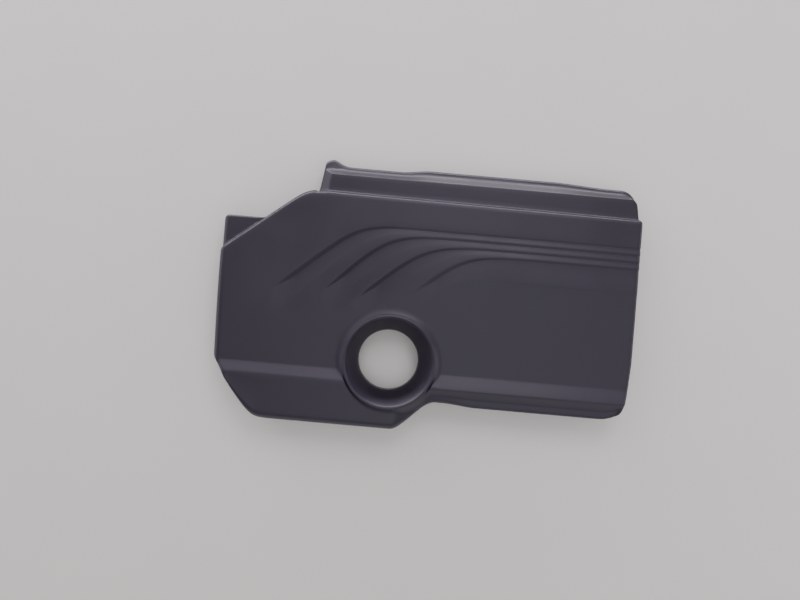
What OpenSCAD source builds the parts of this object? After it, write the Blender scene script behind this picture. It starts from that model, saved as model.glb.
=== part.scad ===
// Engine cover: one moulded shell with a filler funnel, and four rubber
// stud grommets that push into holders under it.
// It lies on its rim at z = 0 with the outer face up. X runs along its length,
// and +Y points at the rear edge, the one with the lowered flange.

/* [Plan] */
// Overall length, left to right
cover_l = 412; // [400:1:440]
// Overall width, front edge of the lobe to the tip of the ear
cover_w = 262; // [256:1:276]
// Front edge of the lobe to the front edge of the right half
step_back = 27; // [22:1:30]
// Notch behind the step, deeper than the edge to its right
step_notch = 2.4; // [0:0.2:4]
// Left end to the middle of the step in the front edge
step_at = 202; // [196:1:210]
// Length over which that step runs
step_run = 43; // [38:1:55]
// Left end to where the slanted front corner meets the front edge
front_slant_at = 43; // [38:1:50]
// Rise of that slanted corner for each mm of length
front_slant = 1.4; // [1.2:0.01:1.5]
// How far the left end leans in at the slanted front corner
left_lean = 2.5; // [0:0.5:4]
// Rear edge of the raised panel back from the ear's tip
shoulder_at = 36.5; // [34:0.5:42]
// Left end to where the slanted rear corner meets the shoulder
rear_slant_at = 81.5; // [76:0.5:86]
// Rise of that slanted corner for each mm of length
rear_slant = 0.81; // [0.75:0.01:0.9]
// Rear edge of the low tab, forward of the ear's tip
tab_at = 64; // [60:1:70]
// Corner radius of the tab
tab_r = 6.5; // [5:0.5:12]
// Corner radius at the right end of the flange
right_r = 15; // [10:1:18]
// Length of the shallow slant in front of the right end
right_slant_at = 23; // [18:1:28]
// How far the right end leans in at that slant
right_lean = 7; // [3:0.5:8]

/* [Heights] */
// Raised panel above the rim
panel_h = 40; // [34:1:46]
// Crown of the panel between its middle and its rear edge
crown = 3; // [1:0.5:4]
// Drop from the panel to the rear flange and the tab
flange_drop = 8.5; // [6:0.5:11]
// Wall of the moulding
wall = 3; // [2.5:0.1:3.5]
// Lean of the side walls, rim to top
draft = 1.2; // [0.8:0.1:2]
// Edge radius of the left end and the lobe
edge_r = 7; // [5:0.5:8]
// Edge radius of the right end, the flange and the tab
crisp_r = 3.6; // [3.6:0.1:5]

/* [Rear flange] */
// Left end of the cover to the start of the flange
flange_at = 91; // [89:1:110]
// Width of the bevel along its rear edge
bevel_w = 9; // [7:0.5:13]
// Drop of that bevel
bevel_drop = 8.5; // [6:0.5:10]
// Height of the ear behind the flange's edge
ear_h = 6; // [4:0.2:9]
// Start of the flange to the middle of the ear
ear_at = 12; // [11:0.5:15]
// Half width of the ear
ear_w = 9; // [7:0.5:11]
// Set-out of the flange's edge from the cover's middle on
flange_out = 3; // [0:0.5:4]
// Width of the bevel along its left end
end_bevel = 10; // [6:1:12]
// Right end of the cover to the right end of the flange
flange_end = 7; // [4:0.5:8]

/* [Belt] */
// Front edge of the lobe to the crest of the belt
belt_at = 45; // [42:1:48]
// Rise of the crest above the panel
belt_rise = 5.5; // [4:0.5:7]
// Width of the belt's rear flank, right of the funnel
flank_right = 14; // [11:1:17]
// Width of the belt's rear flank, left of the funnel
flank_left = 9; // [7:1:12]
// Fall of the lobe from the crest to the front edge
lobe_fall = 4; // [2:0.5:6]
// Width of the lip along the right front edge
lip_w = 4.5; // [3.5:0.5:6]
// Lip below the panel
lip_drop = 2.5; // [1:0.5:5]

/* [Waves] */
// Depth of the steps on their slanted left arms
wave_deep = 2.8; // [1.5:0.1:3.2]
// Depth of the steps on their straight right arms
wave_fine = 1.1; // [0.6:0.1:1.6]
// Width of a step's wall on the slanted arm
wave_wall = 6.5; // [4:0.5:7.5]
// Width of a step's wall on the straight arm
wave_edge = 2; // [1.5:0.1:2.6]
// Shoulder to the first step
wave_at = 27; // [24:1:30]
// Pitch of the steps on the straight arm
wave_pitch = 7; // [6:0.5:8]

/* [Filler funnel] */
// Left end to the middle of the opening
hole_x = 174; // [170:0.5:182]
// Front edge of the lobe to the middle of the opening
hole_y = 67.5; // [64:0.5:70]
// Radius of the opening
hole_r = 29.6; // [26:0.1:32]
// Radius of the funnel's crest
crest_r = 44.5; // [42:0.5:46]
// Width of the crest's outer flank
crest_skirt = 6.5; // [5:0.5:8]
// Crest above the panel
crest_rise = 6; // [5:0.5:8]
// Panel to the top of the throat
cone_depth = 17; // [12:1:22]
// Length of the cylindrical throat
throat_l = 9; // [5:1:12]

/* [Stud grommets] */
// Ball of the stud that each grommet takes, diameter
ball_d = 10; // [8:0.5:12]
// Mouth that the ball snaps through, diameter
mouth_d = 8.4; // [7:0.2:9]
// Rubber round the ball
rubber = 4; // [3:0.5:5]
// Height of the grommet below its plate
grommet_below = 5; // [4:0.5:7]
// Groove that grips the plate, depth
groove = 3; // [2:0.5:4]
// Plate that carries the grommet
plate_t = 2.5; // [2:0.1:3]
// Rim of the cover to the underside of the plate
plate_z = 12; // [9:1:14]
// Clearance of the grommet in its slot, on each side
fit = 0.2; // [0.1:0.05:0.4]
// Wall of a holder
holder_wall = 2.4; // [2:0.1:3]

/* [Ribs] */
// Rib thickness
rib_t = 2; // [1.6:0.1:2.6]
// Rib depth below the middle of the wall
rib_h = 9; // [6:1:12]

/* [Hidden] */
$fn = 96;
eps = 0.01;

// Edges and feature lines, in the frame centred on the cover
x_l = -cover_l / 2;
x_r = cover_l / 2;
y_f = -cover_w / 2;
y_b = cover_w / 2;
y_belt = y_f + belt_at;
y_shoulder = y_b - shoulder_at;
y_tab = y_b - tab_at;
y_flange = y_b - ear_h;
x_step = x_l + step_at;
x_flange = x_l + flange_at;
hole = [x_l + hole_x, y_f + hole_y];
z_flange = panel_h - flange_drop;
z_lip = panel_h - lip_drop;
crown_y = y_belt + 48;          // the panel is level across this line
shoulder_r = 3.2;               // rounding along the shoulder
shoulder_w = 2.2;               // plan width of the wall below the shoulder
tab_foot = 0.5;                 // rise of the flange's outline at its start
ramp = 7;                       // slope of the flange's left end in plan

foot_r = crest_r + crest_skirt;

// Stud positions, from the nearer end and from the front edge of the lobe
studs = [[78, 190], [46, 84], [-36, 160], [-40, 82]];
// Ribs across the cover, from its left end, and the one along it, from the lobe
cross_ribs = [100, 262, 320];
long_rib = 129;

function clamp01(t) = min(1, max(0, t));
function ease(a, b, x) = let (t = clamp01((x - a) / (b - a))) t * t * (3 - 2 * t);
function mix(a, b, t) = a + (b - a) * t;
function soft(t, s) = t > 20 * s ? t : t < -20 * s ? 0 : s * ln(1 + exp(t / s));
// what a rounded corner of radius r takes off an edge that ends at distance e
function corner(e, r) = let (q = 0.94 * r - max(e, 0))
    q <= 0 ? 0 : r - sqrt(r * r - q * q) + 8 * max(0, -e);
function span(a, b, n) = [for (i = [0:n - 1]) mix(a, b, i / n)];

// Outline: the front and the rear edge as functions of x
function right_half(x) = ease(x_step - step_run / 2, x_step + step_run / 2, x);
function notch(x) = step_notch * right_half(x) * (1 - ease(x_step + 28, x_step + 62, x));
function front(x) = y_f + soft((x_l + front_slant_at - x) * front_slant, 8)
    + step_back * right_half(x) + notch(x) + soft((x - x_r + right_slant_at) * 0.4, 1)
    + corner(x_r - x, 5) + corner(x - x_l, 3);
function shoulder(x) = y_shoulder - 0.008 * x - soft((x_l + rear_slant_at - x) * rear_slant, 4)
    - corner(x_r - x, 4);
function ear(x) = ear_h * exp(-pow((x - x_flange - ear_at) / ear_w, 2));
function flange_base(x) = y_flange + flange_out * ease(-35, -5, x)
    - 2.5 * ease(x_r - 90, x_r - 30, x) - corner(x_r - flange_end - x, right_r);
function flange_edge(x) = min(y_shoulder + tab_foot + (x - x_flange) * ramp,
    flange_base(x) + ear(x));
function rear(x) = max(shoulder(x) + shoulder_w + 1.2, y_tab - corner(x - x_l, tab_r),
    flange_edge(x));

// the same edges set in by d all round
function within(x) = max(x_l, min(x_r, x));
function front_in(x, d) = max([for (a = [-90:22.5:90]) front(within(x + d * sin(a))) + d * cos(a)]);
function rear_in(x, d) = min([for (a = [-90:22.5:90]) rear(within(x + d * sin(a))) - d * cos(a)]);

// Outer surface of the raised part
// steps: [straight arm's y, bend's x, slope, softness, start x]
x_w = x_l + 133;
steps = [[0, 0, 0.90, 12, -82, 1], [1, 26, 1.13, 15, -54, 1],
    [2, 62, 1.02, 17, -58, 0.8], [3, 100, 1.00, 15, -43, 0.55]];
y_wave = y_shoulder - wave_at;
function step_y(k, x) = let (s = steps[k], low = belt_foot(x) + (4 - k) * 8,
    line = y_wave - s[0] * wave_pitch - s[2] * soft(x_w + s[1] - x, s[3]))
    low + soft(line - low, 3);
function step_depth(k, x) = let (s = steps[k], bend = x_w + s[1])
    mix(wave_deep * s[5], wave_fine, ease(bend - 25, bend + 50, x))
    * ease(bend + s[4], bend + s[4] + 25, x);
function step_wall(k, x) = let (bend = x_w + steps[k][1])
    mix(wave_wall, wave_edge, ease(bend - 40, bend + 30, x));
// a strip is lowest at the foot of one step and level again at the next
function step_drop(k, x, y) = let (
    top = step_y(k, x), foot = top - step_wall(k, x),
    next = k < 3 ? step_y(k + 1, x) : foot - 22)
    y >= top ? 0 : step_depth(k, x) * (y > foot ? (top - y) / (top - foot)
        : clamp01((y - next) / (foot - next)));

function belt_flank(x) = mix(flank_left, flank_right, right_half(x));
function belt_y(x) = max(y_belt, front_top(x) + 2);
function belt_foot(x) = max(y_belt + belt_flank(x), belt_y(x) + 2);
function front_top(x) = front_in(x, draft + front_r(x));
function front_r(x) = mix(crisp_r, edge_r, ease(x_l + 12, x_l + 45, x) * (1 - right_half(x)));
function bevel_slope(x) = mix(lobe_fall / (belt_at - edge_r), (belt_rise + lip_drop)
    / (belt_at - step_back - draft - lip_w - crisp_r), right_half(x));
function panel(x, y) = panel_h - crown * pow((y - crown_y) / (y_shoulder - crown_y), 2)
    * (y > crown_y ? 1 : 0.15) - 0.8 * pow(2 * x / cover_l, 2);
function surf(x, y) = let (u = (y_belt + belt_flank(x) - y) / belt_flank(x))
    y >= y_belt ? panel(x, y) + belt_rise * clamp01(u)
        - step_drop(0, x, y) - step_drop(1, x, y) - step_drop(2, x, y) - step_drop(3, x, y)
    : max(z_lip, panel(x, y_belt) + belt_rise - bevel_slope(x) * (y_belt - y));

// Sections: [y, z] rows from the front rim to the rear rim
function on(x, ys, d) = [for (y = ys) [y, surf(x, y) - d]];
// the flange is a flat plateau with a bevel along its left end and its rear edge
function left_part(x, y) = clamp01((x - x_flange - (y - y_shoulder) / ramp) / end_bevel);
function flange_z(x, y) = z_flange - (x < x_flange - 1 ? 0 : bevel_drop * (1 - left_part(x, y)));
function section(x, d) = let (
    // front edge: wall and rounding
    fr = max(front_r(x) - d, 0.6), f = front_in(x, d), ft = f + draft + fr,
    fz = surf(x, max(ft, front_top(x))) - d,
    // field of the raised part
    by = max(belt_y(x), ft + 1.2), bf = max(belt_foot(x), by + 1.2),
    gy = mix((ft + by) / 2, min(ft + lip_w, by - 0.6), right_half(x)),
    w = [for (k = [3:-1:0]) each [step_y(k, x) - step_wall(k, x), step_y(k, x)]],
    sy = shoulder(x) - d, top = sy - shoulder_r,
    // rear edge: low level, bevel, rounding and wall
    rr = max(crisp_r - d, 0.6), r = rear_in(x, d),
    s1 = min(sy + shoulder_w, r - draft - 0.5),
    room = max(0.4, r - draft - rr * ease(1, 6, r - s1) - s1),
    re = s1 + room, er = r - draft - re,
    be = max(s1 + 0.66 * room, min(re - 0.06 * room, flange_base(x) - draft - crisp_r)),
    yp = y_flange + flange_out - draft - crisp_r - bevel_w,
    p = max(s1 + 0.33 * room, min(be - 0.06 * room, mix(be, yp, left_part(x, yp)))),
    ze = (x < x_flange - 1 ? z_flange : z_flange - bevel_drop) - d)
    concat(
        [[f, 0], [f + draft, fz - fr], [f + draft + 0.29 * fr, fz - 0.29 * fr]],
        on(x, [ft, gy, by, bf], d),
        on(x, [mix(bf, w[0], 0.33), mix(bf, w[0], 0.67)], d),
        on(x, w, d),
        on(x, [mix(w[7], top, 0.33), mix(w[7], top, 0.67), top], d),
        [[sy - 0.29 * shoulder_r, surf(x, top) - d - 0.29 * shoulder_r],
         [sy, surf(x, top) - d - shoulder_r], [s1, flange_z(x, s1) - d]],
        [[p, flange_z(x, p) - d], [be, ze], [re, ze], [re + 0.71 * er, ze - 0.29 * rr],
         [re + er, ze - rr], [r, 0]]);

// stations along x: the left end's rounding, the features, the right end's
features = concat(
    span(x_l + draft + edge_r, x_l + 40, 6), span(x_l + 40, x_flange - 10, 8),
    span(x_flange - 10, x_flange - 1, 3), span(x_flange - 1, x_flange + 7, 8),
    span(x_flange + 7, x_flange + ear_at, 2), span(x_flange + ear_at, x_flange + 27, 5),
    span(x_flange + 27, x_step - step_run / 2, 10),
    span(x_step - step_run / 2, x_step + step_run / 2, 9),
    span(x_step + step_run / 2, x_r - right_r - 6, 18),
    span(x_r - right_r - 6, x_r - draft - crisp_r, 7));
function stations(d) = let (rl = edge_r - d, rr = max(crisp_r - d, 0.6)) concat(
    [[x_l + d, -1]],
    [for (a = [0:22.5:67.5]) [x_l + draft + d + rl * (1 - cos(a)), rl * (1 - sin(a))]],
    [for (x = features) [x, 0]],
    [for (a = [90:-30:0]) [x_r - draft - d - rr * (1 - cos(a)), rr * (1 - sin(a))]],
    [[x_r - d, -1]]);
// the ends lean in towards the front corners
function lean(x, y) = left_lean * pow(clamp01((26 - y) / 100), 1.5) * (1 - ease(x_l, x_l + 30, x))
    - right_lean * pow(clamp01((y_f + 70 - y) / 38), 1.8) * ease(x_r - 35, x_r, x);
function skin(d) = [for (s = stations(d)) [for (q = section(s[0], d))
    [s[0] + lean(s[0], q[0]), q[0], s[1] < 0 ? 0 : max(0, q[1] - s[1] * min(1, q[1] / 12))]]];

// closed sheet between the outer skin and the skin set in by the wall
module skins() {
    outer = skin(0);
    inner = skin(wall);
    n = len(outer);
    m = len(outer[0]);
    function at(i, j, k) = (k * n + i) * m + j;
    // two opposite corners of the grid are split the other way, to stay off the rim
    function turned(i, j) = (i == 0 && j == 0) || (i == n - 2 && j == m - 2);
    function quad(a, b, c, d, turn) = turn ? [[a, b, c], [a, c, d]] : [[a, b, d], [b, c, d]];
    edge = concat([for (i = [0:n - 1]) [i, 0]], [for (j = [1:m - 1]) [n - 1, j]],
        [for (i = [n - 2:-1:0]) [i, m - 1]], [for (j = [m - 2:-1:1]) [0, j]]);
    polyhedron(
        points = [for (s = [outer, inner], r = s) each r],
        faces = concat(
            [for (i = [0:n - 2], j = [0:m - 2]) each quad(
                at(i, j, 0), at(i, j + 1, 0), at(i + 1, j + 1, 0), at(i + 1, j, 0), turned(i, j))],
            [for (i = [0:n - 2], j = [0:m - 2]) each quad(
                at(i, j, 1), at(i + 1, j, 1), at(i + 1, j + 1, 1), at(i, j + 1, 1), !turned(i, j))],
            [for (e = [0:len(edge) - 1]) let (p = edge[e], q = edge[(e + 1) % len(edge)]) each [
                [at(p[0], p[1], 0), at(q[0], q[1], 0), at(p[0], p[1], 1)],
                [at(q[0], q[1], 0), at(q[0], q[1], 1), at(p[0], p[1], 1)]]]),
        convexity = 12);
}

// Filler funnel
z_crest = panel(hole[0], hole[1]) + crest_rise;
z_foot = panel(hole[0], hole[1]) - wall / 2;
z_throat = panel_h - cone_depth;
module funnel() {
    lean = wall * 0.45;
    translate([hole[0], hole[1], 0]) rotate_extrude($fn = 128) polygon([
        [foot_r + 1, z_foot + 0.6], [foot_r - 0.6, z_foot + wall / 2 + 0.4],
        [crest_r + 2.2, z_crest - 0.7], [crest_r + 1.2, z_crest], [crest_r, z_crest],
        [crest_r - 1, z_crest - 0.8], [hole_r, z_throat], [hole_r, z_throat - throat_l],
        [hole_r + wall - 0.6, z_throat - throat_l], [hole_r + wall, z_throat - lean],
        [crest_r + lean, z_crest - wall - 2], [foot_r - wall, z_foot - 0.6],
        [foot_r + 1, z_foot - 0.6]]);
}

// Underside
function mid_z(x, y) = lookup(y, section(x, wall / 2));
function stud_xy(i) = [studs[i][0] + (studs[i][0] < 0 ? x_r : x_l), y_f + studs[i][1]];
grip_r = ball_d / 2 + rubber - groove;     // radius of the grommet's neck
head_r = ball_d / 2 + rubber;              // radius of its head and foot
head_h = ball_d - grommet_below + 4;       // height of its head above the plate
holder_r = head_r + 1 + holder_wall;

// a D-shaped tower, open towards the front, with a slotted plate at its foot
module holder(i) {
    top = mid_z(stud_xy(i)[0], stud_xy(i)[1]);
    translate([stud_xy(i)[0], stud_xy(i)[1], 0]) {
        difference() {
            translate([0, 0, plate_z]) linear_extrude(top - plate_z) tower(holder_r);
            translate([0, 0, plate_z + plate_t]) linear_extrude(top)
                tower(holder_r - holder_wall, 1);
            translate([0, 0, plate_z - 1]) linear_extrude(plate_t + 2)
                tower(grip_r + fit, 1);
        }
    }
}
module tower(r, past = 0) {
    circle(r);
    translate([-r, -holder_r - past]) square([2 * r, holder_r + past]);
}

// a rib hangs from the middle of the wall: its top edge follows the panel
module rib_shape(line) linear_extrude(rib_t, center = true)
    polygon(concat(line, [for (k = [len(line) - 1:-1:0]) line[k] - [0, rib_h]]));
module ribs() {
    for (at = cross_ribs) translate([x_l + at, 0, 0]) rotate([90, 0, 90])
        rib_shape([for (q = section(x_l + at, wall / 2)) if (q[1] > 0) q]);
    translate([0, y_f + long_rib, 0]) rotate([90, 0, 0])
        rib_shape([for (k = [0:24]) let (x = mix(x_l + draft + wall / 2, x_r - draft - wall / 2, k / 24))
            [x, mid_z(x, y_f + long_rib) - (k % 24 == 0 ? edge_r - wall / 2 : 0)]]);
}

module cover_shell() color([0.16, 0.16, 0.21]) {
    difference() {
        union() {
            skins();
            ribs();
            for (i = [0:3]) holder(i);
        }
        translate([hole[0], hole[1], -1]) cylinder(r = crest_r + wall, h = 100);
    }
    funnel();
}

// a rubber ball socket: head above the plate, neck in the slot, foot below it
module grommet(i) color([0.05, 0.05, 0.05]) translate([stud_xy(i)[0], stud_xy(i)[1], plate_z])
    difference() {
        union() {
            translate([0, 0, -grommet_below]) cylinder(r = head_r, h = grommet_below);
            translate([0, 0, -eps]) cylinder(r = grip_r, h = plate_t + 2 * eps);
            translate([0, 0, plate_t]) cylinder(r = head_r, h = head_h);
        }
        translate([0, 0, -grommet_below - 1]) cylinder(d = mouth_d, h = ball_d);
        translate([0, 0, -grommet_below + ball_d / 2 + 2]) sphere(d = ball_d);
    }
module grommet_rear_left() grommet(0);
module grommet_front_left() grommet(1);
module grommet_rear_right() grommet(2);
module grommet_front_right() grommet(3);

cover_shell();
grommet_rear_left();
grommet_front_left();
grommet_rear_right();
grommet_front_right();
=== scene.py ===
import math
from collections import namedtuple
from types import SimpleNamespace

import bpy
import numpy as np
from bpy.props import FloatProperty, FloatVectorProperty, PointerProperty
from mathutils import Matrix, Vector, geometry


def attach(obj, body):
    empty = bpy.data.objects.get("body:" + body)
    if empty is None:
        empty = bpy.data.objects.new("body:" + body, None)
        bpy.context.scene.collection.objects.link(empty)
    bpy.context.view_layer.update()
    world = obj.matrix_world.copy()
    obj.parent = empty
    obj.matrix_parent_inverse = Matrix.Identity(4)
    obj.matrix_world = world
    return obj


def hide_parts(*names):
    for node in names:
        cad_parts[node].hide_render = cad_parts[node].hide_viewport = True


bl_info = {
    "name": "Engine cover",
    "version": (1, 0, 0),
    "blender": (4, 5, 0),
    "location": "3D View > Sidebar > Engine Cover",
    "description": "Moulded engine cover with a filler funnel and rubber stud grommets",
    "category": "Add Mesh",
}

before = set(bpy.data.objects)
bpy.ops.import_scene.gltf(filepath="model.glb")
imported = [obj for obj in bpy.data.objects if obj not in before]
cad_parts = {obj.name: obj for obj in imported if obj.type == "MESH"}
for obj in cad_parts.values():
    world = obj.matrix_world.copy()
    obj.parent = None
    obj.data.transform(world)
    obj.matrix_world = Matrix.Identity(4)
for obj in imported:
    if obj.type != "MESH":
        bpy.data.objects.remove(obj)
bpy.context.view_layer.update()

BODY = "root"
GROMMETS = ("grommet_rear_left", "grommet_front_left",
            "grommet_rear_right", "grommet_front_right")
MM = 0.001


# Settings

def length(name, mm, description):
    """A length property. Its default is given in millimetres and kept in metres."""
    return FloatProperty(name=name, description=description, default=mm * MM,
                         unit="LENGTH", subtype="DISTANCE", precision=4)


def number(name, value, description):
    """A plain number property, such as a slope."""
    return FloatProperty(name=name, description=description, default=value, precision=3)


def linear(hex_code):
    """Turns an sRGB hex colour into the linear values that shaders take."""
    channels = [int(hex_code[i:i + 2], 16) / 255 for i in (1, 3, 5)]
    return [c / 12.92 if c <= 0.04045 else ((c + 0.055) / 1.055) ** 2.4 for c in channels]


def colour(name, hex_code, description):
    """A colour property with an sRGB hex default."""
    return FloatVectorProperty(name=name, description=description, size=3,
                               subtype="COLOR", min=0, max=1, default=linear(hex_code))


class CoverOutline(bpy.types.PropertyGroup):
    """Plan of the cover, seen from above."""
    length: length("Length", 412, "Left end to right end")
    width: length("Width", 262, "Front edge of the lobe to the tip of the ear")
    step_back: length("Step back", 27, "Lobe's front edge to the right half's")
    step_notch: length("Step notch", 2.4, "Notch behind the step, deeper than the edge beside it")
    step_at: length("Step at", 202, "Left end to the middle of the step")
    step_run: length("Step run", 43, "Length over which the front edge steps back")
    front_slant_at: length("Front slant at", 45, "Left end to the slanted front corner's end")
    front_slant: number("Front slant", 1.28, "Rise of the slanted front corner per unit")
    left_lean: length("Left lean", 2.5, "How far the left end leans in at the front")
    shoulder_at: length("Shoulder at", 36.5, "Ear's tip to the shoulder")
    rear_slant_at: length("Rear slant at", 81.5, "Left end to the slanted rear corner's end")
    rear_slant: number("Rear slant", 0.81, "Rise of the slanted rear corner per unit")
    tab_at: length("Tab at", 64, "Ear's tip to the rear edge of the low tab")
    tab_r: length("Tab corner", 6.5, "Corner radius of the tab")
    right_r: length("Flange corner", 15, "Corner radius at the flange's right end")
    right_slant_at: length("Right slant at", 18, "Right end to the start of the front edge's slant")
    right_slant: number("Right slant", 0.26, "Rise of that slant per unit")
    right_lean: length("Right lean", 8.5, "How far the right end leans in at the front")
    flange_at: length("Flange at", 91, "Left end to the start of the rear flange")
    flange_end: length("Flange end", 7, "Right end to the flange's right end")
    flange_out: length("Flange set-out", 3, "Set-out of the flange's edge from the middle on")
    ear_height: length("Ear height", 6, "Ear behind the flange's edge")
    ear_at: length("Ear at", 12, "Start of the flange to the middle of the ear")
    ear_w: length("Ear half width", 9, "Half width of the ear")


class CoverRelief(bpy.types.PropertyGroup):
    """Heights, edges and surface features of the cover."""
    panel_height: length("Panel height", 40, "Raised panel above the rim")
    crown: length("Crown", 3, "Crown of the panel between its middle and its rear edge")
    flange_drop: length("Flange drop", 8.5, "Panel down to the rear flange and the tab")
    wall: length("Wall", 3, "Wall of the moulding")
    draft: length("Draft", 1.2, "Lean of the side walls, rim to top")
    edge_r: length("Soft edge", 7, "Edge radius of the left end and the lobe")
    crisp_r: length("Crisp edge", 3.6, "Edge radius of the right end and the flange")
    bevel_w: length("Bevel width", 9, "Bevel along the flange's rear edge")
    bevel_drop: length("Bevel drop", 8.5, "Drop of that bevel")
    end_bevel: length("End bevel", 10, "Bevel along the flange's left end")
    belt_at: length("Belt at", 45, "Front edge of the lobe to the belt's crest")
    belt_rise: length("Belt rise", 5.5, "Crest of the belt above the panel")
    flank_right: length("Right flank", 14, "Width of the belt's rear flank on the right")
    flank_left: length("Left flank", 10.5, "Width of the belt's rear flank on the left")
    lobe_fall: length("Lobe fall", 4, "Crest of the belt down to the lobe's front edge")
    lip_w: length("Lip width", 4.5, "Lip along the right front edge")
    lip_drop: length("Lip drop", 2.5, "Lip below the panel")
    wave_deep: length("Deep waves", 3.7, "Depth of the steps on their slanted arms")
    wave_fine: length("Fine waves", 1.1, "Depth of the steps on their straight arms")
    wave_wall: length("Wave wall", 6, "Width of a step's wall on the slanted arm")
    wave_edge: length("Wave edge", 2, "Width of a step's wall on the straight arm")
    wave_at: length("Waves at", 27, "Shoulder to the first step")
    wave_pitch: length("Wave pitch", 7, "Pitch of the steps on the straight arm")
    rib_t: length("Rib thickness", 2, "Thickness of a stiffening rib")
    rib_h: length("Rib depth", 9, "Depth of a rib below the middle of the wall")


class FillerFunnel(bpy.types.PropertyGroup):
    """Funnel round the oil filler."""
    hole_x: length("Hole from left", 174, "Left end to the middle of the opening")
    hole_y: length("Hole from front", 67.5, "Front edge of the lobe to the opening's middle")
    hole_r: length("Hole radius", 29.6, "Radius of the opening")
    crest_r: length("Crest radius", 43.5, "Radius of the funnel's crest")
    crest_rise: length("Crest rise", 6, "Crest above the panel")
    cone_depth: length("Cone depth", 17, "Panel to the top of the throat")
    throat: length("Throat", 9, "Length of the cylindrical throat")


class StudGrommets(bpy.types.PropertyGroup):
    """Rubber ball sockets and the holders that carry them."""
    ball_d: length("Ball", 10, "Diameter of the stud's ball")
    mouth_d: length("Mouth", 8.4, "Diameter of the mouth")
    rubber: length("Rubber", 4, "Rubber round the ball")
    below: length("Foot", 5, "Height of the grommet below its plate")
    groove: length("Groove", 3, "Depth of the groove that grips the plate")
    plate_t: length("Plate", 2.5, "Thickness of the holder's plate")
    plate_z: length("Plate height", 12, "Rim of the cover to the plate's underside")
    fit: length("Fit", 0.2, "Clearance of the grommet in its slot")
    holder_wall: length("Holder wall", 2.4, "Wall of a holder")


class CoverFinish(bpy.types.PropertyGroup):
    """Colours of the materials and of the studio."""
    plastic: colour("Plastic", "#241d2c", "Moulded polyamide")
    plastic_worn: colour("Worn plastic", "#322d3c", "Polyamide where hands have rubbed it")
    rubber: colour("Rubber", "#17171a", "Moulded rubber")
    floor: colour("Floor", "#faf8ef", "Painted studio floor")


# Shape of the cover

def in_mm(*groups):
    """The sizes of property groups as plain numbers, lengths in millimetres."""
    sizes = {}
    for group in groups:
        for key in type(group).__annotations__:
            is_length = group.bl_rna.properties[key].unit == "LENGTH"
            sizes[key] = round(getattr(group, key) * (1000 if is_length else 1), 4)
    return sizes


def mix(a, b, t):
    """From a to b as t goes from 0 to 1."""
    return a + (b - a) * t


def ease(a, b, x):
    """A smooth step from 0 at a to 1 at b."""
    t = np.clip((x - a) / (b - a), 0, 1)
    return t * t * (3 - 2 * t)


def soft_ramp(t, s):
    """The ramp max(t, 0) with its corner softened over s."""
    return s * np.logaddexp(0, t / s)


def soft_max(a, b, k):
    """The larger of two heights, with the crease between them filled over k."""
    h = np.maximum(k - np.abs(a - b), 0) / k
    return np.maximum(a, b) + h * h * k / 4


def plan_corner(e, r):
    """What a corner of radius r takes off an edge that ends at distance e.
    Its last part, where the edge would run along y, is left out, and past its end the
    edge falls at 8 to 1."""
    q = np.maximum(0.94 * r - np.maximum(e, 0), 0)
    return r - np.sqrt(r * r - q * q) + 8 * np.maximum(0, -e)


# Plan, in mm
FRONT_SOFT, REAR_SOFT, RIGHT_SOFT = 5, 4, 1             # how softly the three slants begin
LEFT_CORNER, RIGHT_CORNER = 3, 9                        # radii of the front edge's corners
NOTCH_FADE = (28, 62)                                   # end of the notch, from the step
SHOULDER_SLOPE, SHOULDER_CORNER = 0.008, 4              # slope along x, and corner radius
SHOULDER_R, SHOULDER_W = 3.2, 2.2                       # rounding and plan width
RAMP = 7                                                # slope of the flange's left end
FLANGE_STEP = (-35, -5)                                 # where the flange's edge steps out
FLANGE_FALL, FLANGE_FALL_FROM, FLANGE_FALL_TO = 2.5, 90, 30     # its fall near the right end
SOFT_FROM, SOFT_TO = 12, 45                             # left end to the lobe's soft edge
RIM_TURNS = np.radians(np.arange(-90, 91, 11.25))       # directions tried to set an edge in
# how the ends lean in: start and length in y, power of the curve, and reach along x; the
# left start is measured from the cover's middle, the right one from its front edge
LEFT_LEAN = (26, 100, 1.5, 30)
RIGHT_LEAN = (76, 44, 1.8, 35)

# Relief, in mm
CROWN_FROM = 48                                         # belt's crest to the crown's start
CROWN_FRONT, END_FALL = 0.15, 0.8                       # crown's share in front, fall of the ends
CREST_OFF = (1.2, -1.2)                                 # crest's middle from the opening's
LEAST_BAND, LEAST_INNER = 2, 1.2                        # least width of a band, outside and inside
LEAST_R = 0.6                                           # least rounding inside
DROP_FADE = 12                                          # height above which ends round fully
ANYWHERE = 99.0                                         # rounding as wide as fits

# Wave steps. Each has its offset in pitches, its bend from the first one's, the slope and the
# softness of its arm, its start from its bend, and its strength
Wave = namedtuple("Wave", "order bend slope softness start strength")
WAVES = (Wave(0, 0, 0.90, 12, -80, 1), Wave(1, 26, 1.13, 15, -56, 1),
         Wave(2, 62, 1.02, 17, -60, 0.85), Wave(3, 100, 1.00, 15, -43, 0.6))
WAVE_BEND_AT = 133                                      # left end to the first step's bend
WAVE_GROWTH = 26                                        # run over which a step grows
DEPTH_FADE, WIDTH_FADE = (-25, 50), (-40, 30)           # from arm to straight, from the bend
STRIP_W, LAST_STRIP_W = 34, 30                          # widest strip below a step
LOWEST_BAND = 8                                         # least distance between steps low down
LINE_AT, LINE_DEEP = 44.8, 0.4                          # faint line: from the first step, depth
LINE_FADE, LINE_STRIP = (55, 80), 30                    # its start along x, and the strip below

# Underside, in mm
STUDS = ((78, 190), (46, 84), (-36, 160), (-40, 82))    # from the nearer end and the lobe
CROSS_RIBS = (100, 262, 320)                            # from the left end
LONG_RIB = 129                                          # from the lobe


def stud_centres(length, width):
    """Middles of the studs, each measured from the nearer end of the cover."""
    return [(math.copysign(length / 2, -x) + x, y - width / 2) for x, y in STUDS]


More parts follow.
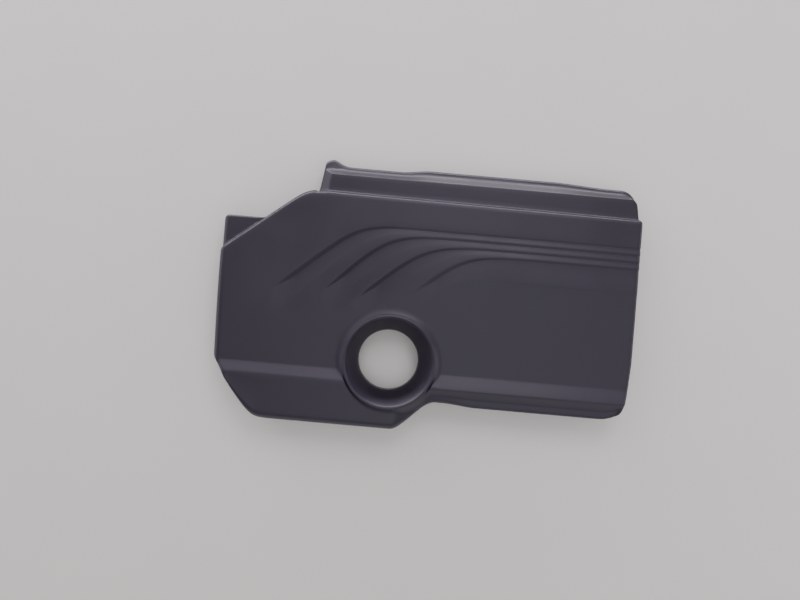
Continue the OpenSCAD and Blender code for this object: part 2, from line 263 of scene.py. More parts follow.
class CoverForm:
    """The cover's faces as functions of place, in millimetres from its middle."""

    def __init__(self, sizes):
        self.__dict__.update(sizes)
        self.x_left, self.x_right = -self.length / 2, self.length / 2
        self.y_front, self.y_rear = -self.width / 2, self.width / 2
        self.x_step = self.x_left + self.step_at
        self.x_flange = self.x_left + self.flange_at
        self.x_wave = self.x_left + WAVE_BEND_AT
        self.y_belt = self.y_front + self.belt_at
        self.y_shoulder = self.y_rear - self.shoulder_at
        self.y_tab = self.y_rear - self.tab_at
        self.y_flange = self.y_rear - self.ear_height
        self.y_wave = self.y_shoulder - self.wave_at
        self.y_crown = self.y_belt + CROWN_FROM
        self.z_flange = self.panel_height - self.flange_drop
        self.z_lip = self.panel_height - self.lip_drop
        self.hole = (self.x_left + self.hole_x, self.y_front + self.hole_y)
        self.crest = (self.hole[0] + CREST_OFF[0], self.hole[1] + CREST_OFF[1])
        self.z_crest = float(self.panel(*self.hole)) + self.crest_rise
        self.z_throat = self.panel_height - self.cone_depth

    # outline
    def right_half(self, x):
        return ease(self.x_step - self.step_run / 2, self.x_step + self.step_run / 2, x)

    def front(self, x):
        slant = soft_ramp((self.x_left + self.front_slant_at - x) * self.front_slant,
                          FRONT_SOFT)
        fade_from, fade_to = NOTCH_FADE
        notch = self.step_notch * (1 - ease(self.x_step + fade_from, self.x_step + fade_to, x))
        end = soft_ramp((x - self.x_right + self.right_slant_at) * self.right_slant,
                        RIGHT_SOFT)
        return (self.y_front + slant + (self.step_back + notch) * self.right_half(x) + end
                + plan_corner(self.x_right - x, RIGHT_CORNER)
                + plan_corner(x - self.x_left, LEFT_CORNER))

    def shoulder(self, x):
        slant = soft_ramp((self.x_left + self.rear_slant_at - x) * self.rear_slant,
                          REAR_SOFT)
        return (self.y_shoulder - SHOULDER_SLOPE * x - slant
                - plan_corner(self.x_right - x, SHOULDER_CORNER))

    def flange_base(self, x):
        """Rear edge of the flange without its ear."""
        fall = ease(self.x_right - FLANGE_FALL_FROM, self.x_right - FLANGE_FALL_TO, x)
        return (self.y_flange + self.flange_out * ease(*FLANGE_STEP, x) - FLANGE_FALL * fall
                - plan_corner(self.x_right - self.flange_end - x, self.right_r))

    def rear(self, x):
        ear = self.ear_height * np.exp(-((x - self.x_flange - self.ear_at) / self.ear_w) ** 2)
        flange = np.minimum(self.y_shoulder + 0.5 + (x - self.x_flange) * RAMP,
                            self.flange_base(x) + ear)
        return np.maximum.reduce([
            self.shoulder(x) + SHOULDER_W + 1.2,
            self.y_tab - plan_corner(x - self.x_left, self.tab_r), flange])

    def lean(self, x, y):
        """How far the ends lean in towards the front corners."""
        start, run, power, reach = LEFT_LEAN
        left = (np.clip((start - y) / run, 0, 1) ** power
                * (1 - ease(self.x_left, self.x_left + reach, x)))
        start, run, power, reach = RIGHT_LEAN
        right = (np.clip((self.y_front + start - y) / run, 0, 1) ** power
                 * ease(self.x_right - reach, self.x_right, x))
        return self.left_lean * left - self.right_lean * right

    def inset(self, edge, sign, x, depth):
        """An edge of the outline set in by depth all round."""
        around = [edge(np.clip(x + depth * np.sin(a), self.x_left, self.x_right))
                  + sign * depth * np.cos(a) for a in RIM_TURNS]
        return np.max(around, axis=0) if sign > 0 else np.min(around, axis=0)

    def front_in(self, x, depth):
        return self.inset(self.front, 1, x, depth)

    def rear_in(self, x, depth):
        return self.inset(self.rear, -1, x, depth)

    # raised part
    def front_r(self, x):
        soft = ease(self.x_left + SOFT_FROM, self.x_left + SOFT_TO, x) * (1 - self.right_half(x))
        return mix(self.crisp_r, self.edge_r, soft)

    def front_top(self, x):
        """Where the front wall's rounding meets the top."""
        return self.front_in(x, self.draft + self.front_r(x))

    def flank(self, x):
        return mix(self.flank_left, self.flank_right, self.right_half(x))

    def belt_y(self, x):
        return np.maximum(self.y_belt, self.front_top(x) + LEAST_BAND)

    def belt_foot(self, x):
        return np.maximum(self.y_belt + self.flank(x), self.belt_y(x) + LEAST_BAND)

    def bevel_slope(self, x):
        return mix(self.lobe_fall / (self.belt_at - self.edge_r),
                   (self.belt_rise + self.lip_drop) / (
                       self.belt_at - self.step_back - self.draft - self.lip_w - self.crisp_r),
                   self.right_half(x))

    def wave_y(self, k, x):
        wave = WAVES[k]
        low = self.belt_foot(x) + (4 - k) * LOWEST_BAND
        line = (self.y_wave - wave.order * self.wave_pitch
                - wave.slope * soft_ramp(self.x_wave + wave.bend - x, wave.softness))
        return low + soft_ramp(line - low, 3)

    def wave_grown(self, k, x):
        """A step starts from nothing on its slanted arm and grows to its full size."""
        start = self.x_wave + WAVES[k].bend + WAVES[k].start
        return ease(start, start + WAVE_GROWTH, x)

    def past_bend(self, k, x, fade):
        """From 0 on a step's slanted arm to 1 on its straight one."""
        bend = self.x_wave + WAVES[k].bend
        return ease(bend + fade[0], bend + fade[1], x)

    def wave_depth(self, k, x):
        arm = self.wave_deep * WAVES[k].strength
        return mix(arm, self.wave_fine, self.past_bend(k, x, DEPTH_FADE)) * self.wave_grown(k, x)

    def wave_width(self, k, x):
        full = mix(self.wave_wall, self.wave_edge, self.past_bend(k, x, WIDTH_FADE))
        return mix(1, full, self.wave_grown(k, x))

    def wave_drop(self, k, x, y):
        """A strip is lowest at the foot of one step and rises in a curve to the next."""
        top = self.wave_y(k, x)
        foot = top - self.wave_width(k, x)
        after = np.maximum(self.wave_y(k + 1, x), foot - STRIP_W) if k < 3 else foot - LAST_STRIP_W
        wall = (top - y) / (top - foot)
        strip = np.clip((y - after) / (foot - after), 0, 1)
        return np.where(y >= top, 0, self.wave_depth(k, x) * np.where(y > foot, wall, strip ** 2))

    def line_drop(self, x, y):
        """A faint line across the right half, like a step but hardly deep."""
        below = self.y_wave - LINE_AT - y
        strip = np.clip(below, 0, 1) * np.clip(1 - below / LINE_STRIP, 0, 1)
        return LINE_DEEP * ease(*LINE_FADE, x) * strip

    def panel(self, x, y):
        bow = ((y - self.y_crown) / (self.y_shoulder - self.y_crown)) ** 2
        return (self.panel_height - self.crown * bow * np.where(y > self.y_crown, 1, CROWN_FRONT)
                - END_FALL * (2 * x / self.length) ** 2)

    def surface(self, x, y):
        climb = np.clip((self.y_belt + self.flank(x) - y) / self.flank(x), 0, 1)
        field = (self.panel(x, y) + self.belt_rise * climb
                 - sum(self.wave_drop(k, x, y) for k in range(4)) - self.line_drop(x, y))
        lobe = np.maximum(self.z_lip, self.panel(x, self.y_belt) + self.belt_rise
                          - self.bevel_slope(x) * (self.y_belt - y))
        return np.where(y >= self.y_belt, field, lobe)

    def end_part(self, x, y):
        """From 0 at the flange's left edge to 1 on its plateau."""
        part = (x - self.x_flange - (y - self.y_shoulder) / RAMP) / self.end_bevel
        return 1 - soft_ramp(1 - np.maximum(part, 0), 0.03)

    def flange_z(self, x, y):
        """A flat plateau with a bevel along its left end; level left of the flange."""
        return self.z_flange - np.where(x < self.x_flange - 1, 0,
                                        self.bevel_drop * (1 - self.end_part(x, y)))

    def section(self, x, depth):
        """Corner rows from the front rim to the rear rim, one tuple each:
        y, z, rounding, steps round the corner, rows on the leg before it."""
        def on(y, cut, steps, before):
            return y, self.surface(x, y) - depth, cut, steps, before

        # the front wall, the lip and the belt
        right = self.right_half(x)
        front = self.front_in(x, depth)
        front_round = np.maximum(self.front_r(x) - depth, LEAST_R)
        top = front + self.draft + front_round
        top_z = self.surface(x, np.maximum(top, self.front_top(x))) - depth
        belt = np.maximum(self.belt_y(x), top + LEAST_INNER)
        foot = np.maximum(self.belt_foot(x), belt + LEAST_INNER)
        lip = mix((top + belt) / 2, np.minimum(top + self.lip_w, belt - 0.6), right)
        # the faint line and the wave steps, the lowest first
        line = np.minimum(self.y_wave - LINE_AT, mix(foot, self.wave_y(3, x) - self.wave_edge, 0.85))
        waves, below = [], line
        for k in (3, 2, 1, 0):
            brow, width = self.wave_y(k, x), self.wave_width(k, x)
            strip = [on(mix(below, brow - width, t), ANYWHERE, 1, 0) for t in (0.35, 0.7)]
            waves += [*strip, on(brow - width, 0.12 * width, 2, 0), on(brow, 0.12 * width, 2, 0)]
            below = brow
        # the shoulder
        shoulder = self.shoulder(x) - depth
        panel_end = shoulder - SHOULDER_R
        panel_end_z = self.surface(x, panel_end) - depth
        # the flange: its plateau, its bevel and the rear wall share the room that there is
        rear = self.rear_in(x, depth)
        rear_round = max(self.crisp_r - depth, LEAST_R)
        plateau = np.minimum(shoulder + SHOULDER_W, rear - self.draft - 0.5)
        room = np.maximum(0.4, rear - self.draft - rear_round * ease(1, 6, rear - plateau) - plateau)
        wanted = self.flange_base(x) - self.draft - self.crisp_r
        bevel_foot = np.maximum(plateau + 0.66 * room, np.minimum(plateau + room - 0.06 * room, wanted))
        wanted = self.y_flange + self.flange_out - self.draft - self.crisp_r - self.bevel_w
        bevel_top = np.maximum(plateau + 0.33 * room, np.minimum(
            bevel_foot - 0.06 * room, mix(bevel_foot, wanted, self.end_part(x, wanted))))
        on_flange = np.where(x < self.x_flange - 1, 0, 1)
        foot_z = np.where(x < self.x_flange - 1, self.z_flange,
                          self.z_flange - self.bevel_drop) - depth
        return [
            (front, 0, 0, 0, 0), (front + self.draft, top_z, front_round, 7, 3),
            on(lip, mix(ANYWHERE, 0.9, right), 2, 1), on(belt, mix(2.6, 1.2, right), 4, 2),
            on(foot, mix(4, 1.4, right), 4, 1), on(mix(foot, line, 0.5), ANYWHERE, 2, 0),
            on(np.maximum(mix(foot, line, 0.9), line - 1), 0.2, 1, 0), on(line, 0.2, 1, 0),
            *waves,
            *(on(mix(below, panel_end, t), ANYWHERE, 2, 0) for t in (0.33, 0.67)),
            (shoulder, panel_end_z, SHOULDER_R, 6, 1),
            (plateau, self.flange_z(x, plateau) - depth, 1.3, 3, 1),
            (bevel_top, self.flange_z(x, bevel_top) - depth, 0.8, 3, 3),
            (bevel_foot, foot_z + on_flange, 3, 3, 2),
            (rear - self.draft, foot_z - on_flange, rear_round, 6, 1), (rear, 0, 0, 0, 3)]

    def rows(self, x, depth):
        """Smooth rows of y and z at each x, front rim to rear rim: (rows, 2, x)."""
        corners = self.section(x, depth)
        return rounded([c[:3] for c in corners], [c[3:] for c in corners], x)

    def height(self, x, y, depth):
        """Height of the face set in by depth, at each point."""
        rows = self.rows(np.asarray(x, float), depth)
        return np.array([np.interp(b, rows[:, 0, i], rows[:, 1, i])
                         for i, b in enumerate(np.asarray(y, float))])

    def stations(self, depth):
        """Places along x, and the drop of the rounded ends at each; -1 marks the rim."""
        turn = np.radians(np.arange(0, 90, 9))
        ends = []
        for r in (self.edge_r - depth, max(self.crisp_r - depth, LEAST_R)):
            ends.append((self.draft + depth + r * (1 - np.cos(turn)), r * (1 - np.sin(turn))))
        (left, left_drop), (right, right_drop) = ends
        a, b = self.x_left, self.x_right
        # each mark: a place along x and the spacing of the stations after it
        marks = ((a + self.draft + self.edge_r, 1.7), (a + 40, 1.5), (self.x_flange - 8, 1),
                 (self.x_flange - 1, 0.4), (self.x_flange + 15, 1.0), (self.x_flange + 27, 1.5),
                 (self.x_step - self.step_run / 2 - 4, 1.3),
                 (self.x_step + self.step_run / 2 + 4, 1.7),
                 (b - self.right_r - 6, 0.9), (b - self.draft - self.crisp_r, 0))
        along = np.concatenate([
            np.linspace(s, e, math.ceil((e - s) / step), endpoint=False)
            for (s, step), (e, _) in zip(marks, marks[1:])])
        x = np.concatenate([[a + depth], a + left, along, [marks[-1][0]],
                            (b - right)[::-1], [b - depth]])
        drop = np.concatenate([[-1], left_drop, 0 * along, [0], right_drop[::-1], [-1]])
        return x, drop

    def skin(self, depth):
        """The face set in by depth, as a grid of points: (x, rows, 3)."""
        x, drop = self.stations(depth)
        y, z = self.rows(x, depth).transpose(1, 2, 0)
        drop = drop[:, None]
        z = np.where(drop < 0, 0, np.maximum(0, z - drop * np.minimum(1, z / DROP_FADE)))
        return np.stack([x[:, None] + self.lean(x[:, None], y), y, z], axis=2)


MOST_OF_LEG = 0.46      # share of a leg that one rounding may take


def rounded(corners, steps, x):
    """Rows through a strip of corners with each corner turned in an arc.
    corners: y, z and rounding of each; steps: steps round it, rows on the leg before it."""
    corners = np.array([np.broadcast_arrays(*c, x)[:3] for c in corners])
    points, cuts = corners[:, :2], corners[:, 2]
    legs = np.diff(points, axis=0)
    lengths = np.linalg.norm(legs, axis=1)
    rows = [points[0]]
    for i in range(1, len(points)):
        last = i == len(points) - 1
        start = points[i]
        if not last:
            start = points[i] - legs[i - 1] * np.minimum(cuts[i] / lengths[i - 1], MOST_OF_LEG)
        n = steps[i][1] + 1
        begin = rows[-1]
        rows += [mix(begin, start, j / n) for j in range(1, n)]
        if last:
            rows.append(start)
            break
        end = points[i] + legs[i] * np.minimum(cuts[i] / lengths[i], MOST_OF_LEG)
        turn = (legs[i - 1] * legs[i]).sum(0) / (lengths[i - 1] * lengths[i])
        weight = np.sqrt(np.clip((1 + turn) / 2, 0.05, 1))
        for t in np.linspace(0, 1, steps[i][0] + 1):
            a, b, c = (1 - t) ** 2, 2 * weight * t * (1 - t), t * t
            rows.append((a * start + b * points[i] + c * end) / (a + b + c))
    return np.array(rows)


# Mesh building

class Solid:
    """Collects points and faces, in millimetres, and makes one Blender object of them."""

    def __init__(self):
        self.points, self.faces, self.count = [], [], 0

    def add(self, points, faces=()):
        """Adds points and faces that count from them. Returns the first point's number."""
        first = self.count
        points = np.asarray(points, float).reshape(-1, 3)
        self.points.append(points)
        self.count += len(points)
        self.faces += [tuple(first + i for i in face) for face in faces]
        return first

    def band(self, rings, closed=True, flip=False):
        """Quads between rings, given as lists of point numbers."""
        for a, b in zip(rings, rings[1:]):
            n = len(a) if closed else len(a) - 1
            for k in range(n):
                m = (k + 1) % len(a)
                face = (a[k], a[m], b[m], b[k])
                self.faces.append(face[::-1] if flip else face)

    def sweep(self, rings, flip=False):
        """A closed bar through rings of points, with flat ends."""
        rings = np.asarray(rings, float)
        n, m = rings.shape[:2]
        first = self.add(rings)
        numbers = [[first + i * m + j for j in range(m)] for i in range(n)]
        self.band(numbers, flip=flip)
        self.faces.append(tuple(numbers[0] if flip else numbers[0][::-1]))
        self.faces.append(tuple(numbers[-1][::-1] if flip else numbers[-1]))

    def lathe(self, profile, centre, segments=96):
        """Turns a profile of radius and height, from the axis to the axis, about a centre."""
        angles = np.linspace(0, 2 * math.pi, segments, endpoint=False)
        rings = []
        for r, z in profile:
            if r < 1e-6:
                rings.append([self.add([(*centre, z)])] * segments)
            else:
                first = self.add(np.stack([centre[0] + r * np.cos(angles),
                                           centre[1] + r * np.sin(angles),
                                           np.full(segments, z)], axis=1))
                rings.append(list(range(first, first + segments)))
        self.band(rings, flip=True)
        self.faces = [tuple(dict.fromkeys(f)) for f in self.faces]

    def build(self, name, material, crease=38):
        """The object, smooth but for edges sharper than the crease angle."""
        mesh = bpy.data.meshes.new(name)
        mesh.from_pydata((np.concatenate(self.points) * MM).tolist(), [], self.faces)
        mesh.validate()
        mesh.shade_smooth()
        mesh.set_sharp_from_angle(angle=math.radians(crease))
        made = bpy.data.objects.new(name, mesh)
        bpy.context.scene.collection.objects.link(made)
        mesh.materials.append(material)
        return made


def grid_with_hole(solid, skin, centre, radius, flip):
    """Adds a skin's quads but for those within radius of the centre.
    Returns the grid's point numbers and the edges of the hole left in it."""
    n, m = skin.shape[:2]
    first = solid.add(skin)
    number = first + np.arange(n * m).reshape(n, m)
    near = np.hypot(skin[..., 0] - centre[0], skin[..., 1] - centre[1]) < radius
    gone = near[:-1, :-1] | near[1:, :-1] | near[1:, 1:] | near[:-1, 1:]
    i, j = np.nonzero(~gone)
    quads = np.stack([number[i, j], number[i + 1, j], number[i + 1, j + 1], number[i, j + 1]], 1)
    solid.faces += map(tuple, (quads[:, ::-1] if flip else quads).tolist())
    edges = []
    for i, j in zip(*np.nonzero(gone)):
        sides = (((i, j - 1), (i, j), (i + 1, j)), ((i + 1, j), (i + 1, j), (i + 1, j + 1)),
                 ((i, j + 1), (i + 1, j + 1), (i, j + 1)), ((i - 1, j), (i, j + 1), (i, j)))
        edges += [(number[a], number[b]) for cell, a, b in sides if not gone[cell]]
    return number, edges


def stitch(solid, ring, edges, centre, flip):
    """Fills the gap between a ring of points and the edges of a hole round it."""
    points = np.concatenate(solid.points)
    used = sorted(set(ring) | {p for e in edges for p in e})
    local = {p: k for k, p in enumerate(used)}
    loops = edges + list(zip(ring, ring[1:] + ring[:1]))
    made = geometry.delaunay_2d_cdt(
        [Vector(points[p][:2]) for p in used],
        [(local[a], local[b]) for a, b in loops], [], 1, 1e-6)
    source = [used[origin[0]] for origin in made[3]]
    inside = np.hypot(*(points[ring[0]][:2] - centre)) * 0.9999
    for face in made[2]:
        numbers = [source[v] for v in face]
        middle = points[numbers].mean(0)[:2] - centre
        if np.hypot(*middle) > inside * math.cos(math.pi / len(ring)):
            solid.faces.append(tuple(numbers[::-1] if flip else numbers))


# Materials

def add_node(tree, kind, values=None, links=None, **settings):
    """Adds a shader node with its settings, the values of its sockets and its links."""
    made = tree.nodes.new(kind)
    for key, value in settings.items():
        setattr(made, key, value)
    for key, value in (values or {}).items():
        made.inputs[key].default_value = value
    for key, source in (links or {}).items():
        tree.links.new(source, made.inputs[key])
    return made


def new_material(name):
    """An empty node material with its output node."""
    material = bpy.data.materials.new(name)
    material.use_nodes = True
    material.node_tree.nodes.clear()
    return material, material.node_tree, material.node_tree.nodes.new("ShaderNodeOutputMaterial")


def moulded_polyamide(finish):
    """Glass-filled polyamide, injection moulded against a spark-eroded die.

    The eye gets a matt dark skin with an even grain and soft wide highlights,
    a little cloudy where the melt flowed at different speeds."""
    material, tree, output = new_material("moulded_polyamide")
    place = add_node(tree, "ShaderNodeTexCoord").outputs["Object"]
    # flow marks are 60 mm wide clouds
    cloud = add_node(tree, "ShaderNodeTexNoise", {"Scale": 1 / (60 * MM), "Detail": 3.0},
                     {"Vector": place})
    # the die's grain is 0.1 mm; drawn at 0.9 mm, the finest that the picture shows
    grain = add_node(tree, "ShaderNodeTexNoise", {"Scale": 1 / (0.9 * MM), "Detail": 2.0},
                     {"Vector": place})
    tone = add_node(tree, "ShaderNodeMapRange",
                    {"From Min": 0.35, "From Max": 0.75, "To Min": 0.0, "To Max": 0.35},
                    {"Value": cloud.outputs["Fac"]})
    body = add_node(tree, "ShaderNodeMix",
                    {"A": (*finish.plastic, 1), "B": (*finish.plastic_worn, 1)},
                    {"Factor": tone.outputs["Result"]}, data_type="RGBA")
    rough = add_node(tree, "ShaderNodeMapRange",
                     {"From Min": 0.3, "From Max": 0.7, "To Min": 0.36, "To Max": 0.46},
                     {"Value": cloud.outputs["Fac"]})
    bump = add_node(tree, "ShaderNodeBump", {"Strength": 0.25, "Distance": 0.06 * MM},
                    {"Height": grain.outputs["Fac"]})
    shader = add_node(tree, "ShaderNodeBsdfPrincipled", {"IOR": 1.53},
                      {"Base Color": body.outputs["Result"],
                       "Roughness": rough.outputs["Result"],
                       "Normal": bump.outputs["Normal"]})
    tree.links.new(shader.outputs["BSDF"], output.inputs["Surface"])
    return material


def moulded_rubber(finish):
    """EPDM rubber, compression moulded.

    The eye gets a deep black with a dull bloom and no grain to speak of."""
    material, tree, output = new_material("moulded_rubber")
    place = add_node(tree, "ShaderNodeTexCoord").outputs["Object"]
    bloom = add_node(tree, "ShaderNodeTexNoise", {"Scale": 1 / (6 * MM), "Detail": 4.0},
                     {"Vector": place})
    tone = add_node(tree, "ShaderNodeMix",
                    {"A": (*finish.rubber, 1), "B": (*linear("#26262a"), 1)},
                    {"Factor": bloom.outputs["Fac"]}, data_type="RGBA")
    rough = add_node(tree, "ShaderNodeMapRange", {"To Min": 0.68, "To Max": 0.85},
                     {"Value": bloom.outputs["Fac"]})
    shader = add_node(tree, "ShaderNodeBsdfPrincipled", {"IOR": 1.52},
                      {"Base Color": tone.outputs["Result"], "Roughness": rough.outputs["Result"]})
    tree.links.new(shader.outputs["BSDF"], output.inputs["Surface"])
    return material


def painted_board(finish):
    """Matt emulsion on board: an even pale ground with a faint mottle from the roller."""
    material, tree, output = new_material("painted_board")
    place = add_node(tree, "ShaderNodeTexCoord").outputs["Object"]
    mottle = add_node(tree, "ShaderNodeTexNoise", {"Scale": 1 / (90 * MM), "Detail": 2.0},
                      {"Vector": place})
    tone = add_node(tree, "ShaderNodeMix",
                    {"A": (*finish.floor, 1), "B": (*linear("#f4f2ea"), 1)},
                    {"Factor": mottle.outputs["Fac"]}, data_type="RGBA")
    shader = add_node(tree, "ShaderNodeBsdfPrincipled", {"Roughness": 0.9},
                      {"Base Color": tone.outputs["Result"]})
    tree.links.new(shader.outputs["BSDF"], output.inputs["Surface"])
    return material


# Pieces

FUNNEL_EDGE = 52.2      # radius where the funnel's own rings meet the panel's grid
UNDER_EDGE = 46.6       # the same below the panel


def funnel_rings(form, solid, segments=208):
    """The funnel's face from the panel over the crest and down the throat to its underside.
    Returns its outermost ring on top, and the one under the panel."""
    cx, cy = form.crest
    angles = np.linspace(0, 2 * math.pi, segments, endpoint=False)
    slope = 0.85                        # mean steepness of the crest's outer flank
    peak = form.z_crest + 1.1           # where the flank and the cone would meet
    # towards the rear the crest is lowest and its flank shallowest
    dip, ease_off = 2.1 + 2.08 * np.sin(angles), 0.3 * np.sin(angles)
    # the underside of the cone: where it starts at the throat, and its slope
    under_r, under_z, under_slope = form.hole_r + form.wall, form.z_throat - 1.35, 1.395
    profile = rounded(
        [(form.crest_r + 3, peak - 3 * slope, 0), (form.crest_r, peak, 3),
         (form.hole_r, form.z_throat, 2.0), (form.hole_r, form.z_throat - form.throat, 0.5),
         (under_r - 0.6, form.z_throat - form.throat, 0.5), (under_r, under_z, 0)],
        [(0, 0), (8, 0), (5, 5), (3, 3), (3, 0), (0, 2)], np.zeros(1))[..., 0]

    def ring(r, z, reach=form.crest_r):
        # the crest sits a little off the throat, and the cone leans to join them
        off = np.clip((reach - r) / (reach - form.hole_r - 0.5), 0, 1)
        x = cx + (form.hole[0] - cx) * off + r * np.cos(angles)
        y = cy + (form.hole[1] - cy) * off + r * np.sin(angles)
        if callable(z):
            z = z(x, y)
        else:
            z = z - dip * (1 - off) + ease_off * max(r - form.crest_r, 0)
        first = solid.add(np.stack([x, y, z], 1))
        return list(range(first, first + segments))

    rings = []
    for r in np.linspace(FUNNEL_EDGE, form.crest_r + 3.3, 12):
        def outer(x, y, r=r):
            flank = peak - dip - (slope - ease_off) * (r - form.crest_r)
            return np.minimum(soft_max(form.height(x, y, 0), flank, 3), form.z_crest - 0.2)
        rings.append(ring(r, outer))
    rings += [ring(r, z) for r, z in profile]
    for r in np.linspace(under_r + 1.5, UNDER_EDGE, 11):
        def under(x, y, r=r):
            cone = under_z + under_slope * (r - under_r)
            return -soft_max(-form.height(x, y, form.wall), -np.full(segments, cone), 3)
        rings.append(ring(r, under, UNDER_EDGE - 1))
    solid.band(rings)
    return rings[0], rings[-1]


def rim_band(solid, outer, inner):
    """The flat rim between the edges of the outer and the inner skin."""
    def edge(n):
        return np.concatenate([n[:, 0], n[-1, 1:], n[-2::-1, -1], n[0, -2:0:-1]]).tolist()
    solid.band([edge(outer), edge(inner)], flip=True)


def add_rib(solid, form, x, y):
    """A rib along a line of points, hung from the middle of the wall, with a rounded foot."""
    top = form.height(x, y, form.wall / 2)
    foot = top - form.rib_h
    side = np.array([np.gradient(y), -np.gradient(x)])
    side /= np.hypot(*side)
    half, r, taper = form.rib_t / 2, 0.45, 0.12
    side_of_foot = [(-half, top), (-half + taper, foot + r),
                    (-half + taper + 0.3 * r, foot + 0.3 * r), (-half + r, foot)]
    shape = side_of_foot + [(-s, z) for s, z in reversed(side_of_foot)]
    rings = [np.stack([x + side[0] * s, y + side[1] * s, z], 1) for s, z in shape]
    solid.sweep(np.stack(rings, 1))


def add_holder(solid, form, x, y):
    """A D-shaped tower, open to the front, with a slotted plate at its foot."""
    head = form.ball_d / 2 + form.rubber
    inner = head + 1                    # the tower clears the grommet's head by 1 mm
    outer, slot = inner + form.holder_wall, head - form.groove + form.fit
    z0, z1 = form.plate_z, form.plate_z + form.plate_t
    # round the plan, each station is a side and a distance along it, or an angle and None
    arc = np.radians(np.linspace(180, 0, 41))
    stations = [(-1, t) for t in np.linspace(-outer, 0, 5)[:-1]]
    stations += [(a, None) for a in arc] + [(1, t) for t in np.linspace(0, -outer, 5)[1:]]

    def at(r, station):
        a, t = station
        if t is None:
            return x + r * math.cos(a), y + r * math.sin(a)
        return x + a * r, y + t

    rings = []
    for s in stations:
        shape = [(outer, z0 + 0.5), (outer, None), (inner, None), (inner, z1 + 0.5),
                 (inner - 0.5, z1), (slot + 0.4, z1), (slot, z1 - 0.4), (slot, z0 + 0.4),
                 (slot + 0.4, z0), (outer - 0.5, z0)]
        ring = []
        for r, z in shape:
            px, py = at(r, s)
            ring.append((px, py, z))
        rings.append(ring)
    tops = form.height([p[0] for r in rings for p in (r[1], r[2])],
                       [p[1] for r in rings for p in (r[1], r[2])], form.wall / 2)
    for i, ring in enumerate(rings):
        ring[1] = (*ring[1][:2], tops[2 * i])
        ring[2] = (*ring[2][:2], tops[2 * i + 1])
    solid.sweep(rings, flip=True)


class ENGINECOVER_OT_moulding(bpy.types.Operator):
    """Adds the moulded cover: outer and inner skin, funnel, ribs and stud holders"""
    bl_idname = "engine_cover.moulding"
    bl_label = "Moulded cover"

    def execute(self, context):
        scene = context.scene
        form = CoverForm(in_mm(scene.cover_outline, scene.cover_relief, scene.cover_funnel,
                               scene.cover_grommets))
        solid = Solid()
        outer, hole = grid_with_hole(solid, form.skin(0), form.crest, FUNNEL_EDGE + 0.5, False)
        inner, under = grid_with_hole(solid, form.skin(form.wall), form.crest,
                                      UNDER_EDGE + 0.5, True)
        rim_band(solid, outer, inner)
        top_ring, under_ring = funnel_rings(form, solid)
        stitch(solid, top_ring, hole, form.crest, False)
        stitch(solid, under_ring, under, form.crest, True)
        half = form.wall / 2
        for at in CROSS_RIBS:
            x = form.x_left + at
            one = np.array([x])
            y = np.linspace(form.front_in(one, half)[0] + form.draft,
                            form.rear_in(one, half)[0] - form.draft, 150)
            add_rib(solid, form, np.full(150, x), y)
        x = np.linspace(form.x_left + form.draft + 3.5, form.x_right - form.draft - 2.5, 170)
        add_rib(solid, form, x, np.full(170, form.y_front + LONG_RIB))
        for centre in stud_centres(form.length, form.width):
            add_holder(solid, form, *centre)
        piece = solid.build("cover_moulding", moulded_polyamide(scene.cover_finish))
        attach(piece, BODY)
        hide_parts("cover_shell")
        return {"FINISHED"}


class ENGINECOVER_OT_grommets(bpy.types.Operator):
    """Adds the four rubber ball sockets that snap onto the engine's studs"""
    bl_idname = "engine_cover.grommets"
    bl_label = "Stud grommets"

    def execute(self, context):
        scene = context.scene
        sizes = SimpleNamespace(**in_mm(scene.cover_outline, scene.cover_grommets))
        rubber = moulded_rubber(scene.cover_finish)
        ball, mouth = sizes.ball_d / 2, sizes.mouth_d / 2
        head = ball + sizes.rubber
        neck = head - sizes.groove
        foot_z, plate_top = sizes.plate_z - sizes.below, sizes.plate_z + sizes.plate_t
        head_z = plate_top + sizes.ball_d - sizes.below + 4
        ball_z = foot_z + ball + 2
        corners = [(0, head_z, 0), (head, head_z, 1.6), (head, plate_top, 0.7),
                   (neck, plate_top, 0.25), (neck, sizes.plate_z, 0.25),
                   (head, sizes.plate_z, 0.7), (head, foot_z, 1.2), (mouth, foot_z, 1.0),
                   (mouth, ball_z - math.sqrt(ball ** 2 - mouth ** 2), 0)]
        profile = rounded(corners, [(0, 0), (6, 3), (4, 2), (2, 1), (2, 1), (4, 1), (5, 2),
                                    (5, 1), (0, 1)], np.zeros(1))[..., 0]
        low = -math.acos(mouth / ball)
        cavity = [(ball * math.cos(a), ball_z + ball * math.sin(a))
                  for a in np.linspace(low, math.pi / 2, 14)[1:]]
        cavity[-1] = (0, cavity[-1][1])
        for name, centre in zip(GROMMETS, stud_centres(sizes.length, sizes.width)):
            solid = Solid()
            solid.lathe([*profile, *cavity], centre, 72)
            piece = solid.build(name.replace("grommet", "rubber_grommet"), rubber)
            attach(piece, BODY)
            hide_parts(name)
        return {"FINISHED"}


# High soft boxes behind the cover, a wide weak one above it, and low ones all round, the
# strongest beyond the rear edge, so that faces tilted to the rear are the lightest.
# Each has its name, place and size in metres, and power in watts.
SOFT_BOXES = (
    ("rear_softbox", (-0.35, 1.3, 0.11), (2.4, 0.18), 28),
    ("left_softbox", (-1.5, 0.2, 0.2), (1.8, 0.4), 4),
    ("right_softbox", (1.0, 0.1, 0.3), (1.0, 0.4), 2.5),
    ("front_softbox", (0.1, -1.4, 0.25), (2.4, 0.4), 3),
    ("key_softbox", (0.15, 0.8, 1.15), (0.6, 0.6), 4.5),
    ("side_softbox", (-0.7, 0.7, 0.8), (1.0, 1.0), 3),
    ("top_softbox", (0.2, -0.4, 1.4), (1.4, 1.4), 5.5))
LIGHT_COLOUR = "#faf6ff"
AIR_COLOUR, AIR_STRENGTH = "#e4e2e6", 0.45
FLOOR = 4000                            # half side of the floor, in mm

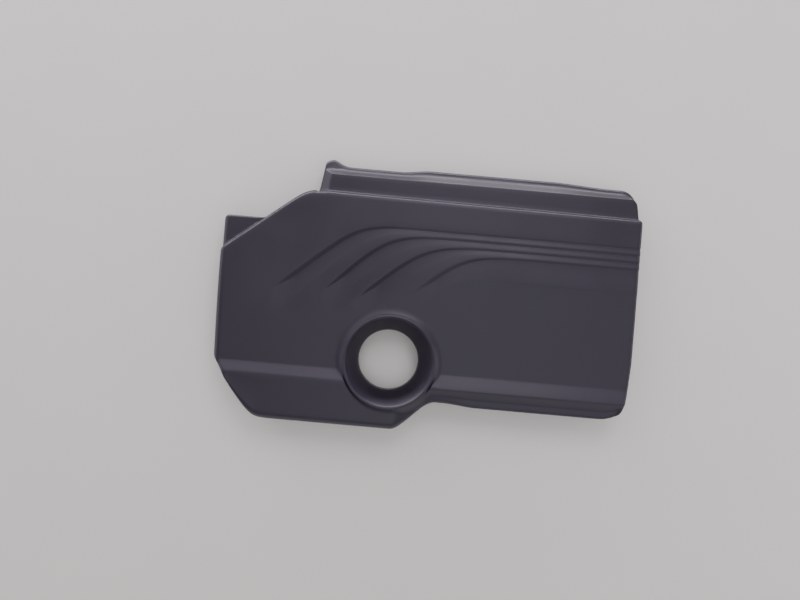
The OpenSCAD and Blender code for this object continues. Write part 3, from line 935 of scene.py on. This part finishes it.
# The camera looks straight down, and is turned 5 degrees, so the cover leans as in the photo
CAMERA_AT = (-25.4, -3.6, 740)          # in mm
CAMERA_ROLL = 5
FOCAL_PX, PICTURE_W_PX = 722, 800       # focal length and picture width, in pixels


class ENGINECOVER_OT_stage(bpy.types.Operator):
    """Adds the camera, the pale floor and the soft studio lights"""
    bl_idname = "engine_cover.stage"
    bl_label = "Stage"

    def execute(self, context):
        scene = context.scene
        floor = Solid()
        floor.add([(-FLOOR, -FLOOR, 0), (FLOOR, -FLOOR, 0), (FLOOR, FLOOR, 0), (-FLOOR, FLOOR, 0)],
                  [(0, 1, 2, 3)])
        floor.build("studio_floor", painted_board(scene.cover_finish))
        world = bpy.data.worlds.new("studio_air")
        world.use_nodes = True
        air = world.node_tree.nodes["Background"].inputs
        air["Color"].default_value = (*linear(AIR_COLOUR), 1)
        air["Strength"].default_value = AIR_STRENGTH
        scene.world = world
        for name, place, size, watts in SOFT_BOXES:
            light = bpy.data.lights.new(name, "AREA")
            light.shape, light.size, light.size_y, light.energy = "RECTANGLE", *size, watts
            light.color = linear(LIGHT_COLOUR)
            lamp = bpy.data.objects.new(name, light)
            lamp.location = place
            lamp.rotation_euler = (-Vector(place)).to_track_quat("-Z", "Y").to_euler()
            scene.collection.objects.link(lamp)
        data = bpy.data.cameras.new("camera")
        data.sensor_width = 36
        data.lens = data.sensor_width * FOCAL_PX / PICTURE_W_PX
        camera = bpy.data.objects.new("camera", data)
        camera.matrix_world = (Matrix.Translation(Vector(CAMERA_AT) * MM)
                               @ Matrix.Rotation(math.radians(CAMERA_ROLL), 4, "Z"))
        scene.collection.objects.link(camera)
        scene.camera = camera
        return {"FINISHED"}


class ENGINECOVER_PT_panel(bpy.types.Panel):
    """Sizes, colours and pieces of the engine cover"""
    bl_idname = "ENGINECOVER_PT_panel"
    bl_label = "Engine Cover"
    bl_space_type = "VIEW_3D"
    bl_region_type = "UI"
    bl_category = "Engine Cover"

    def draw(self, context):
        layout = self.layout
        for name, group in GROUPS.items():
            box = layout.box()
            settings = getattr(context.scene, name)
            for key in group.__annotations__:
                box.prop(settings, key)
        for piece in OPERATORS:
            layout.operator(piece.bl_idname)


GROUPS = {"cover_outline": CoverOutline, "cover_relief": CoverRelief,
          "cover_funnel": FillerFunnel, "cover_grommets": StudGrommets,
          "cover_finish": CoverFinish}
OPERATORS = (ENGINECOVER_OT_stage, ENGINECOVER_OT_moulding, ENGINECOVER_OT_grommets)


def register():
    for name, group in GROUPS.items():
        bpy.utils.register_class(group)
        setattr(bpy.types.Scene, name, PointerProperty(type=group))
    for made in (*OPERATORS, ENGINECOVER_PT_panel):
        bpy.utils.register_class(made)


def unregister():
    for made in (ENGINECOVER_PT_panel, *reversed(OPERATORS)):
        bpy.utils.unregister_class(made)
    for name, group in GROUPS.items():
        delattr(bpy.types.Scene, name)
        bpy.utils.unregister_class(group)


def main():
    register()
    bpy.ops.engine_cover.stage()
    bpy.ops.engine_cover.moulding()
    bpy.ops.engine_cover.grommets()


if __name__ == "__main__":
    main()
